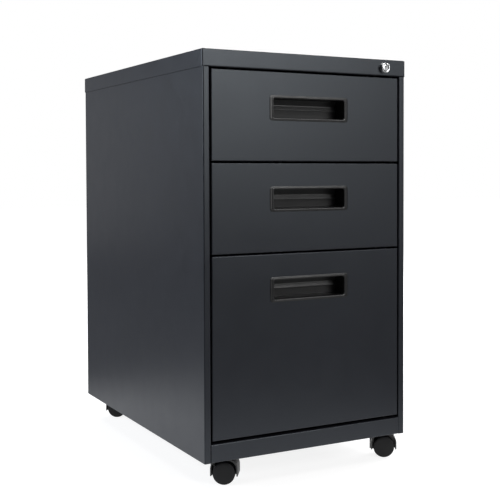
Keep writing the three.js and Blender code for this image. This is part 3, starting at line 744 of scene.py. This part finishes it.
def slide(drawer, name, side):
    """One slide: the rail on the cabinet, the runner on the drawer, and a file drawer's middle member."""
    members = [
        ("rail", "cabinet", 4 * MM),
        ("runner", f"{drawer}_drawer", 0),
    ]
    if drawer == "file":
        members.append(("middle", "file_slide_middles", 3.6 * MM))
    for kind, body, lip in members:
        node = f"{drawer}_{name}_slide_{kind}"
        low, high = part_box(f"{drawer}_right_slide_{kind}")
        web, mouth = (low.x, high.x) if kind == "runner" else (high.x, low.x)
        middle_z = (low.z + high.z) / 2
        section = channel(web, mouth, middle_z, high.z - low.z, lip)
        shape = prism(section, "y", (low.y, high.y))
        if kind != "runner":
            # Slots through the web, where the member was held while it was plated.
            slots = []
            for k in range(5):
                y = low.y + (high.y - low.y) * (0.1 + 0.2 * k)
                outline = rounded_rectangle(16 * MM, 5 * MM, 2.4 * MM, (y, middle_z), 4)
                slots.append(prism(outline, "x", (web - 3 * MM, web + 3 * MM)))
            shape = cut(shape, together(*slots))
        add_piece(f"{node}_section", mirrored(shape, side), "zinc_steel", body, [node])
    ball_cages(drawer, name, side)


def ball_cages(drawer, name, side):
    """The steel balls between a slide's members, above and below, in the part that always overlaps."""
    pairs = [("rail", "runner", "cabinet")]
    if drawer == "file":
        pairs = [("rail", "middle", "cabinet"), ("middle", "runner", "file_slide_middles")]
    for outer, inner, body in pairs:
        outer_low, outer_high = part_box(f"{drawer}_right_slide_{outer}")
        inner_low, inner_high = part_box(f"{drawer}_right_slide_{inner}")
        room = outer_high.z - SLIDE_SHEET - inner_high.z
        radius = room / 2 - 0.2 * MM
        x = outer_low.x + SLIDE_SHEET + radius + 0.2 * MM
        shapes = []
        balls = 7
        pitch = 13 * MM
        first = outer_low.y + 16 * MM
        strip = (first - 7 * MM, first + 7 * MM + pitch * (balls - 1))
        for z in (inner_high.z + room / 2, inner_low.z - room / 2):
            for k in range(balls):
                y = first + pitch * k
                ball = bmesh.new()
                bmesh.ops.create_uvsphere(ball, u_segments=16, v_segments=10, radius=radius)
                bmesh.ops.translate(ball, vec=(x, y, z), verts=ball.verts)
                shapes.append(ball)
            half = 0.25 * MM
            shapes.append(block((x - radius * 0.9, x + radius * 0.9), strip, (z - half, z + half)))
        add_piece(
            f"{drawer}_{name}_{inner}_balls", mirrored(together(*shapes), side), "chrome", body, soft=None,
        )


def pencil_tray():
    """A moulded tray that rests on the upper drawer's sides: a trough for pens and two pockets."""
    low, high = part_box("pencil_tray")
    wall = 1.6 * MM
    basin_x = high.x - 1.5 * MM
    split = low.y + 40 * MM

    def is_upright_or_low(middle, along):
        return along == "z" or middle.z < low.z + 2 * wall

    rest = rounded_block(
        (low.x, high.x), (low.y, high.y), (high.z - wall, high.z), 3 * MM, lambda middle, along: along == "z",
    )
    basin = rounded_block(
        (-basin_x, basin_x), (low.y, high.y), (low.z, high.z - wall / 2), 3 * MM, is_upright_or_low,
    )
    tray = join(rest, basin)
    for x, y in (
        ((wall - basin_x, basin_x - wall), (low.y + wall, split)),
        ((wall - basin_x, -wall / 2), (split + wall, high.y - wall)),
        ((wall / 2, basin_x - wall), (split + wall, high.y - wall)),
    ):
        tray = cut(tray, rounded_block(x, y, (low.z + wall, high.z + 9 * MM), 5 * MM, is_upright_or_low))
    add_piece("pencil_tray_moulding", tray, "black_plastic", "upper_drawer", ["pencil_tray"], soft=0.4 * MM)


def hanging_rail(name, side):
    """A plastic channel pushed over the top edge of the file drawer's side, rounded where the hooks slide."""
    low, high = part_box("right_hanging_rail")
    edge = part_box("file_right_slide_runner")[0].x - GAP
    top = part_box("file_drawer_body")[1].z
    radius = (high.x - low.x) / 2
    outline = [(high.x, low.z), *arc((low.x + radius, high.z - radius), radius, 0, 180, 12), (low.x, low.z)]
    slot = [(edge - SHEET - GAP, low.z - MM), (edge + GAP, low.z - MM), (edge + GAP, top + GAP),
            (edge - SHEET - GAP, top + GAP)]
    shape = cut(prism(outline, "y", (low.y, high.y)), prism(slot, "y", (low.y - MM, high.y + MM)))
    add_piece(
        f"{name}_hanging_rail_profile", mirrored(shape, side), "black_plastic", "file_drawer",
        [f"{name}_hanging_rail"], soft=0.3 * MM,
    )


# ---- Inside the casing -----------------------------------------------------------------------------------

def upright(end, name, side):
    """A channel that carries the slides, with its row of slots, and the lock bar's guides on one of them."""
    low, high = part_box(f"{end}_left_upright")
    face, outer = -high.x, -low.x
    section = [(outer, low.y), (face, low.y), (face, high.y), (outer, high.y)]
    shape = prism(fold(section[::-1], SLIDE_SHEET, 2 * SLIDE_SHEET), "z", (low.z, high.z))
    middle_y = (low.y + high.y) / 2
    pitch = 25 * MM
    count = int((high.z - low.z - 20 * MM) / pitch)
    slots = []
    for k in range(count):
        z = low.z + 20 * MM + k * pitch
        outline = rounded_rectangle(4 * MM, 12 * MM, 1.9 * MM, (middle_y, z), 3)
        slots.append(prism(outline, "x", (face - 3 * MM, face + 3 * MM)))
    shape = cut(shape, together(*slots))
    if (end, side) == ("front", 1):
        bar_low, bar_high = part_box("lock_bar")
        inner, strip = bar_high.x - 8 * MM, bar_high.x
        for height in BAR_GUIDE_HEIGHTS:
            z = (height, height + 12 * MM)
            loop = block((inner - 3 * MM, outer), (bar_low.y - 3 * MM, low.y + SLIDE_SHEET / 2), z)
            way = block(
                (inner - 2 * GAP, strip + GAP), (bar_low.y - GAP, bar_high.y + GAP), (z[0] - MM, z[1] + MM),
            )
            shape = join(shape, cut(loop, way))
    node = f"{end}_{name}_upright"
    add_piece(f"{node}_channel", mirrored(shape, side), "zinc_steel", "cabinet", [node])


def counterweight():
    """An iron casting with rounded corners and top edges, bolted down by two hexagon heads."""
    low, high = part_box("counterweight")
    casting = rounded_block(
        (low.x, high.x), (low.y, high.y), (low.z, high.z - 4.5 * MM), 5 * MM,
        lambda middle, along: along == "z" or middle.z > high.z - 8 * MM,
    )
    bolts = []
    for side in (-1, 1):
        centre = (side * high.x * 0.7, (low.y + high.y) / 2)
        bolts.append(prism(arc(centre, 7.5 * MM, 0, 300, 5), "z", (high.z - 6 * MM, high.z)))
    casting = join(casting, *bolts)
    add_piece("counterweight_casting", casting, "cast_iron", "cabinet", ["counterweight"], soft=MM)


# ---- Lock ------------------------------------------------------------------------------------------------

def lock():
    """The chrome housing with a grooved barrel, and the plug with its keyway."""
    low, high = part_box("lock_housing")
    x, z = lock_centre()
    face = low.y - FRONT
    end = high.y - FRONT
    r = LOCK_RADIUS
    bore = 5.8 * MM
    profile = [(bore, face + 0.9 * MM)]
    profile += [(bore + 0.35 * MM, face + 0.35 * MM), (6.6 * MM, face + 0.08 * MM)]
    profile += [(u, v) for u, v in arc((r - 1.0 * MM, face + 1.0 * MM), 1.0 * MM, 270, 360, 6)]
    profile += [(r, -3.0 * MM), (7.5 * MM, -2.85 * MM), (7.5 * MM, -2.35 * MM), (r, -2.2 * MM), (r, 0.9 * MM)]
    profile += [(10.8 * MM, 1.3 * MM), (10.8 * MM, 3.3 * MM), (8.2 * MM, 3.5 * MM)]
    profile += [(8.2 * MM, end - 0.4 * MM), (7.7 * MM, end), (bore, end)]
    housing = lathe(profile, (x, FRONT, z), segments=64)
    add_piece("lock_barrel", housing, "chrome", "cabinet", ["lock_housing"], soft=0.08 * MM)

    plug_low, plug_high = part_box("lock_plug")
    front = plug_low.y - FRONT
    radius = (plug_high.x - plug_low.x) / 2
    profile = [(0, front), (radius - 0.7 * MM, front), (radius - 0.15 * MM, front + 0.3 * MM)]
    profile += [(radius, front + 0.9 * MM), (radius, plug_high.y - FRONT), (0, plug_high.y - FRONT)]
    plug = lathe(profile, (x, FRONT, z))
    plug = cut(plug, prism(keyhole(x, z, 0), "y", (plug_low.y - MM, plug_low.y + 9 * MM)))
    add_piece("lock_core", plug, "chrome", "lock_plug", ["lock_plug"], soft=0.12 * MM)
    # Painted shade: a black fill just inside the keyway stands in for the shade deep in the keyway.
    keyway_shade_fill = prism(keyhole(x, z, 0.06 * MM), "y", (plug_low.y + 0.5 * MM, plug_low.y + 8.9 * MM))
    add_piece("lock_keyway_painted_shade", keyway_shade_fill, "black_plastic", "lock_plug", soft=None)


def keyhole(x, z, inset):
    """A keyhole's outline: a round blob over a slot, drawn inset from its edge."""
    radius = 1.7 * MM - inset
    slot_half = 0.85 * MM - inset
    low = z - 3.9 * MM + inset
    start = math.degrees(math.asin(slot_half / radius))
    outline = arc((x, z + 1.7 * MM), radius, start - 90, 270 - start, 18)
    return outline + [(x - slot_half, low), (x + slot_half, low)]


CAM_THROW = 8 * MM * math.cos(math.radians(45))  # across and down from the plug's axis to the cam's pin


def lock_cam():
    """A round plate on the plug's end, with the off-centre pin that lifts the bar."""
    low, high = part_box("lock_cam")
    x, z = lock_centre()
    thickness = 2 * MM
    disc = round_bar(11 * MM, (0, thickness), (x, low.y, z), segments=64)
    pin_place = (x - CAM_THROW, low.y, z - CAM_THROW)
    pin = round_bar(2 * MM, (thickness / 2, high.y - low.y), pin_place, segments=24)
    add_piece("lock_cam_plate", join(disc, pin), "zinc_steel", "lock_plug", ["lock_cam"])


def lock_bar():
    """The strip with a slotted ear over the cam's pin, and a tab for each drawer's catch."""
    low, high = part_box("lock_bar")
    x, z = lock_centre()
    pin_z = z - CAM_THROW
    inner = high.x - 8 * MM
    span = (low.y, high.y)
    ear = block((low.x, high.x), span, (pin_z - 6 * MM, high.z))
    slot_outline = rounded_rectangle(9.6 * MM, 5.6 * MM, 2.6 * MM, (x - 6.2 * MM, pin_z), 5)
    slot = prism(slot_outline, "y", (low.y - MM, high.y + MM))
    bar = join(block((inner, high.x), span, (low.z, high.z)), ear)
    for drawer in DRAWERS:
        top = catch_bottom(drawer) - 1.5 * MM
        bar = join(bar, block((inner - 11 * MM, inner + MM), span, (top - 8 * MM, top)))
    add_piece("lock_bar_strip", cut(bar, slot), "zinc_steel", "lock_bar", ["lock_bar"])


# ---- Casters ---------------------------------------------------------------------------------------------

def joint(name):
    return next(j for j in frame["joints"] if j["name"] == name)


def swivel_of(corner):
    x, y, _ = joint(f"{corner}_swivel")["pos_m"]
    return x, y


def turned(shape, corner):
    """A shape drawn with the swivel axis on Z and the trail along +X, put where the caster stands."""
    swivel = Vector((*swivel_of(corner), 0))
    axle = Vector(joint(f"{corner}_outer_wheel_spin")["pos_m"])
    trail = axle - swivel
    turn = math.atan2(trail.y, trail.x)
    shape.transform(Matrix.Translation(swivel) @ Matrix.Rotation(turn, 4, "Z"))
    return shape


WHEEL_CENTRE = Vector(joint("front_left_outer_wheel_spin")["pos_m"])
WHEEL_RADIUS = WHEEL_CENTRE.z
TRAIL = (Vector(swivel_of("front_left")) - WHEEL_CENTRE.xy).length
WHEEL_OUTER = 19.5 * MM
WHEEL_INNER = 7 * MM
HOOD_REACH = 22 * MM
HOOD_CORNER = 15 * MM
HOOD_HALF = 16.8 * MM
HOOD_LIP = 4.7 * MM
HOOD_WALL = 2 * MM
HOOD_TOP = WHEEL_RADIUS + HOOD_REACH


def hood_outline(inset, lower=0.0):
    half = HOOD_REACH - inset
    corner = HOOD_CORNER - inset
    top = HOOD_TOP - inset
    bottom = WHEEL_RADIUS - HOOD_LIP - lower
    points = [(TRAIL + half, bottom)]
    points += arc((TRAIL + half - corner, top - corner), corner, 0, 90, 12)
    points += arc((TRAIL - half + corner, top - corner), corner, 90, 180, 12)
    points.append((TRAIL - half, bottom))
    return points


def caster(corner):
    """A hood on its web, neck and hub, a threaded stem with its washer, the axle and two wheels."""
    body = f"{corner}_caster"
    arch = prism(hood_outline(0), "y", (-HOOD_HALF, HOOD_HALF))
    arch = cut(arch, prism(hood_outline(HOOD_WALL, MM), "y", (-HOOD_HALF - MM, HOOD_HALF + MM)))
    web = prism(hood_outline(HOOD_WALL / 2), "y", (-4 * MM, 4 * MM))
    neck = round_bar(6.5 * MM, (12 * MM, HOOD_TOP - MM), (0, 0, 0), UP, 32)
    hub = round_bar(6 * MM, (-6.7 * MM, 6.7 * MM), (TRAIL, 0, WHEEL_RADIUS), segments=32)
    bore = round_bar(STEM_RADIUS + GAP, (18 * MM, 60 * MM), (0, 0, 0), UP, 32)
    hood = cut(join(arch, web, neck, hub), bore)
    add_piece(
        f"{corner}_hood_moulding", turned(hood, corner), "black_plastic", body, [f"{corner}_caster_hood"],
        soft=0.55 * MM, angle=40,
    )

    r = STEM_RADIUS
    washer = 11 * MM
    top = PANEL_LOW.z - GAP
    low = top - 1.8 * MM
    ease = 0.4 * MM
    stem = [(0, 18.3 * MM), (r - 0.6 * MM, 18.3 * MM), (r, 18.9 * MM), (r, low), (washer - ease, low)]
    stem += [(washer, low + ease), (washer, top - ease), (washer - ease, top), (r, top), (r, top + MM)]
    pitch = 1.25 * MM
    z = top + MM
    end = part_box(f"{corner}_caster_stem")[1].z
    while z + pitch < end - 0.8 * MM:
        stem += [(r, z + 0.3 * pitch), (r - 0.65 * MM, z + 0.65 * pitch), (r, z + pitch)]
        z += pitch
    stem += [(3.3 * MM, end), (0, end)]
    pin = lathe(stem, (*swivel_of(corner), 0), UP, 32)
    add_piece(f"{corner}_stem_pin", pin, "zinc_steel", "cabinet", [f"{corner}_caster_stem"], soft=None)

    axle_end = WHEEL_OUTER - 4.2 * MM
    axle_radius = 2.5 * MM
    chamfer = 0.5 * MM
    half = [(0, axle_end), (axle_radius - chamfer, axle_end), (axle_radius, axle_end - chamfer)]
    section = [(r, -y) for r, y in half] + half[::-1]
    axle = turned(lathe(section, (TRAIL, 0, WHEEL_RADIUS), segments=32), corner)
    add_piece(f"{corner}_axle_pin", axle, "zinc_steel", body, [f"{corner}_caster_axle"], soft=None)

    for wheel, side in (("outer", -1), ("inner", 1)):
        profile = [(radius, side * y) for radius, y in wheel_profile()]
        shape = turned(lathe(profile, (TRAIL, 0, WHEEL_RADIUS), segments=72), corner)
        name = f"{corner}_{wheel}_wheel"
        add_piece(f"{name}_moulding", shape, "wheel_plastic", name, [name], soft=None, angle=28)


def wheel_profile():
    """From the blind bore on the inside, over the tread, to the middle of the smooth outer face."""
    r = WHEEL_RADIUS
    bore = 2.8 * MM
    profile = [(0, WHEEL_OUTER - 3.5 * MM), (bore, WHEEL_OUTER - 3.5 * MM), (bore, WHEEL_INNER)]
    profile += [(5.2 * MM, WHEEL_INNER), (5.4 * MM, WHEEL_INNER + 0.2 * MM), (5.6 * MM, WHEEL_INNER + 5 * MM)]
    profile += [(r - 3.4 * MM, WHEEL_INNER + 5 * MM), (r - 3.1 * MM, WHEEL_INNER + 0.2 * MM)]
    profile += [(r - 2.9 * MM, WHEEL_INNER), (r - 0.9 * MM, WHEEL_INNER)]
    profile += arc((r - 0.9 * MM, WHEEL_INNER + 0.9 * MM), 0.9 * MM, 270, 360, 4)
    middle = (WHEEL_INNER + WHEEL_OUTER) / 2
    profile += [(r, middle - 0.35 * MM), (r - 0.2 * MM, middle), (r, middle + 0.35 * MM)]
    profile += [(r, WHEEL_OUTER - 2.4 * MM)]
    profile += arc((r - 1.3 * MM, WHEEL_OUTER - 2.2 * MM), 1.3 * MM, 0, 62, 5)
    profile += [(r - 2.0 * MM, WHEEL_OUTER - 0.78 * MM), (r - 2.2 * MM, WHEEL_OUTER - 0.72 * MM)]
    for k in range(1, 8):
        t = k / 7
        profile.append(((r - 2.2 * MM) * (1 - t), WHEEL_OUTER - 0.72 * MM + 0.7 * MM * (1 - (1 - t) ** 2)))
    return profile


# ---- Scene -----------------------------------------------------------------------------------------------

LENS = 71.63  # millimetres, on a sensor 36 mm wide
SHIFT = (-0.08, -0.09)
EYE = (-0.8218, -1.6773, 0.4946)
YAW, PITCH, ROLL = 29.408, 1.893, -0.125  # degrees, to the right of +Y, down, and about the view
PAINTED_SWEEP_GLOW = 0.45  # how bright the painted pool of light that glows on the floor under the cabinet is, for bounced light and reflections
SWEEP_MIDDLE = (-0.12, -0.1, 0)
SWEEP_EDGE = (0.3, 0.82)  # where that light starts to fade and ends, from the sweep's middle


def make_camera():
    data = bpy.data.cameras.new("camera")
    data.lens = LENS
    data.sensor_width = 36
    data.shift_x, data.shift_y = SHIFT
    data.clip_start = 0.05
    yaw, pitch, roll = (math.radians(angle) for angle in (YAW, PITCH, ROLL))
    look = Matrix.Rotation(-yaw, 4, "Z") @ Matrix.Rotation(math.pi / 2 - pitch, 4, "X")
    camera = bpy.data.objects.new("camera", data)
    camera.matrix_world = Matrix.Translation(EYE) @ look @ Matrix.Rotation(roll, 4, "Z")
    bpy.context.scene.collection.objects.link(camera)
    bpy.context.scene.camera = camera


def area_light(name, azimuth, elevation, distance, size, strength, colour=(1, 1, 1)):
    """A soft box that looks at the cabinet's middle. Azimuth 0 is in front of it, positive to the right."""
    target = Vector((0, 0, 0.35))
    a, e = math.radians(azimuth), math.radians(elevation)
    offset = Vector((math.sin(a) * math.cos(e), -math.cos(a) * math.cos(e), math.sin(e))) * distance
    data = bpy.data.lights.new(name, "AREA")
    data.shape = "RECTANGLE"
    data.size, data.size_y = size
    data.energy = strength * size[0] * size[1] * math.pi
    data.color = colour
    light = bpy.data.objects.new(name, data)
    light.location = target + offset
    light.rotation_euler = (-offset).to_track_quat("-Z", "Y").to_euler()
    bpy.context.scene.collection.objects.link(light)


def make_world():
    """White behind the object, and a soft grey room, darker towards the floor, for light and reflections."""
    world = bpy.data.worlds.new("studio")
    world.use_nodes = True
    tree = world.node_tree
    background = tree.nodes["Background"]
    place = linked(tree, "TexCoord", {})
    split = linked(tree, "SeparateXYZ", {"Vector": place.outputs["Generated"]})
    room = ranged(tree, split.outputs["Z"], 0.0, 0.06, -0.12, 0.5)
    path = linked(tree, "LightPath", {})
    choices = {"Factor": path.outputs["Is Camera Ray"], 2: room, 3: 1.0}
    strength = linked(tree, "Mix", choices, data_type="FLOAT")
    feed(tree, background, {"Strength": strength.outputs[0], "Color": (1, 1, 1, 1)})
    bpy.context.scene.world = world
    bpy.context.scene.view_settings.view_transform = "Standard"


def make_floor():
    """A white floor that runs into the backdrop, with a light shadow on it under the cabinet. For bounced
    light and reflections it glows as a painted pool of light by the cabinet, with painted shade darker
    further off."""
    mesh = bpy.data.meshes.new("floor")
    half = 12.0
    corners = [(-half, -half, 0), (half, -half, 0), (half, half, 0), (-half, half, 0)]
    mesh.from_pydata(corners, [], [(0, 1, 2, 3)])
    floor = bpy.data.objects.new("floor", mesh)
    bpy.context.scene.collection.objects.link(floor)
    material, tree, shader = node_material("floor", (0.7, 0.7, 0.7), 0.9, 0)
    place = linked(tree, "TexCoord", {})
    ends = {0: place.outputs["Object"], 1: SWEEP_MIDDLE}
    away = linked(tree, "VectorMath", ends, operation="DISTANCE")
    near = ranged(tree, away.outputs["Value"], 1.0, 0.0, *SWEEP_EDGE)
    mottled = mixed(tree, ranged(tree, noise(tree, 3, 2), 0, 1), (0.4, 0.4, 0.4), (0.43, 0.43, 0.43))
    # Painted pool of light: for bounced light and reflections the floor glows by the cabinet, though it is no
    # lamp.
    painted_light_pool = ranged(tree, near, 0.0, PAINTED_SWEEP_GLOW, 0.0, 1.0)
    # Painted shade: for bounced light and reflections the floor's colour is darker further off.
    feed(tree, shader, {
        "Base Color": mixed(tree, near, (0.12, 0.12, 0.12), mottled), "Specular IOR Level": 0.0,
        "Emission Color": (1, 1, 1, 1), "Emission Strength": painted_light_pool,
    })
    shade = linked(tree, "BsdfDiffuse", {"Color": (0.3, 0.3, 0.3, 1)})
    white = ranged(tree, away.outputs["Value"], 0.86, 1.02, 0.5, 2.0)
    glow = linked(tree, "Emission", {"Strength": white})
    seen = linked(tree, "AddShader", {0: shade.outputs["BSDF"], 1: glow.outputs["Emission"]})
    path = linked(tree, "LightPath", {})
    choices = {"Fac": path.outputs["Is Camera Ray"], 1: shader.outputs["BSDF"], 2: seen.outputs["Shader"]}
    chosen = linked(tree, "MixShader", choices)
    tree.links.new(chosen.outputs["Shader"], tree.nodes["Material Output"].inputs["Surface"])
    mesh.materials.append(material)


make_camera()
make_world()
make_floor()
area_light("key", 18, 25, 3.2, (1.6, 0.9), 5.6)
area_light("low_key", 17, 12, 3.2, (0.9, 1.0), 2.4)
area_light("lock_glint", 33, 9, 3.2, (0.9, 1.3), 0.8)
area_light("left_rim", -118, 20, 3.5, (1.8, 1.6), 9.2, (0.9, 0.97, 1.08))
area_light("left_glow", -160, 4, 3.5, (0.9, 1.0), 0.42)
area_light("right_rim", 105, 26, 3.5, (1.8, 1.6), 12.0)
area_light("back_fill", 148, 30, 3.5, (1.6, 1.6), 12.0)
area_light("overhead", -10, 80, 2.4, (1.8, 1.8), 2.5)

top_cover()
for side_name, side_sign in SIDES:
    side_panel(side_name, side_sign)
back_panel()
bottom_pan()
for drawer_name in DRAWERS:
    drawer_front(drawer_name)
    drawer_pull(drawer_name)
    drawer_body(drawer_name)
    for side_name, side_sign in SIDES:
        slide(drawer_name, side_name, side_sign)
pencil_tray()
for side_name, side_sign in SIDES:
    hanging_rail(side_name, side_sign)
    for end_name in ("front", "rear"):
        upright(end_name, side_name, side_sign)
counterweight()
lock()
lock_cam()
lock_bar()
for corner_name in CORNERS:
    caster(corner_name)
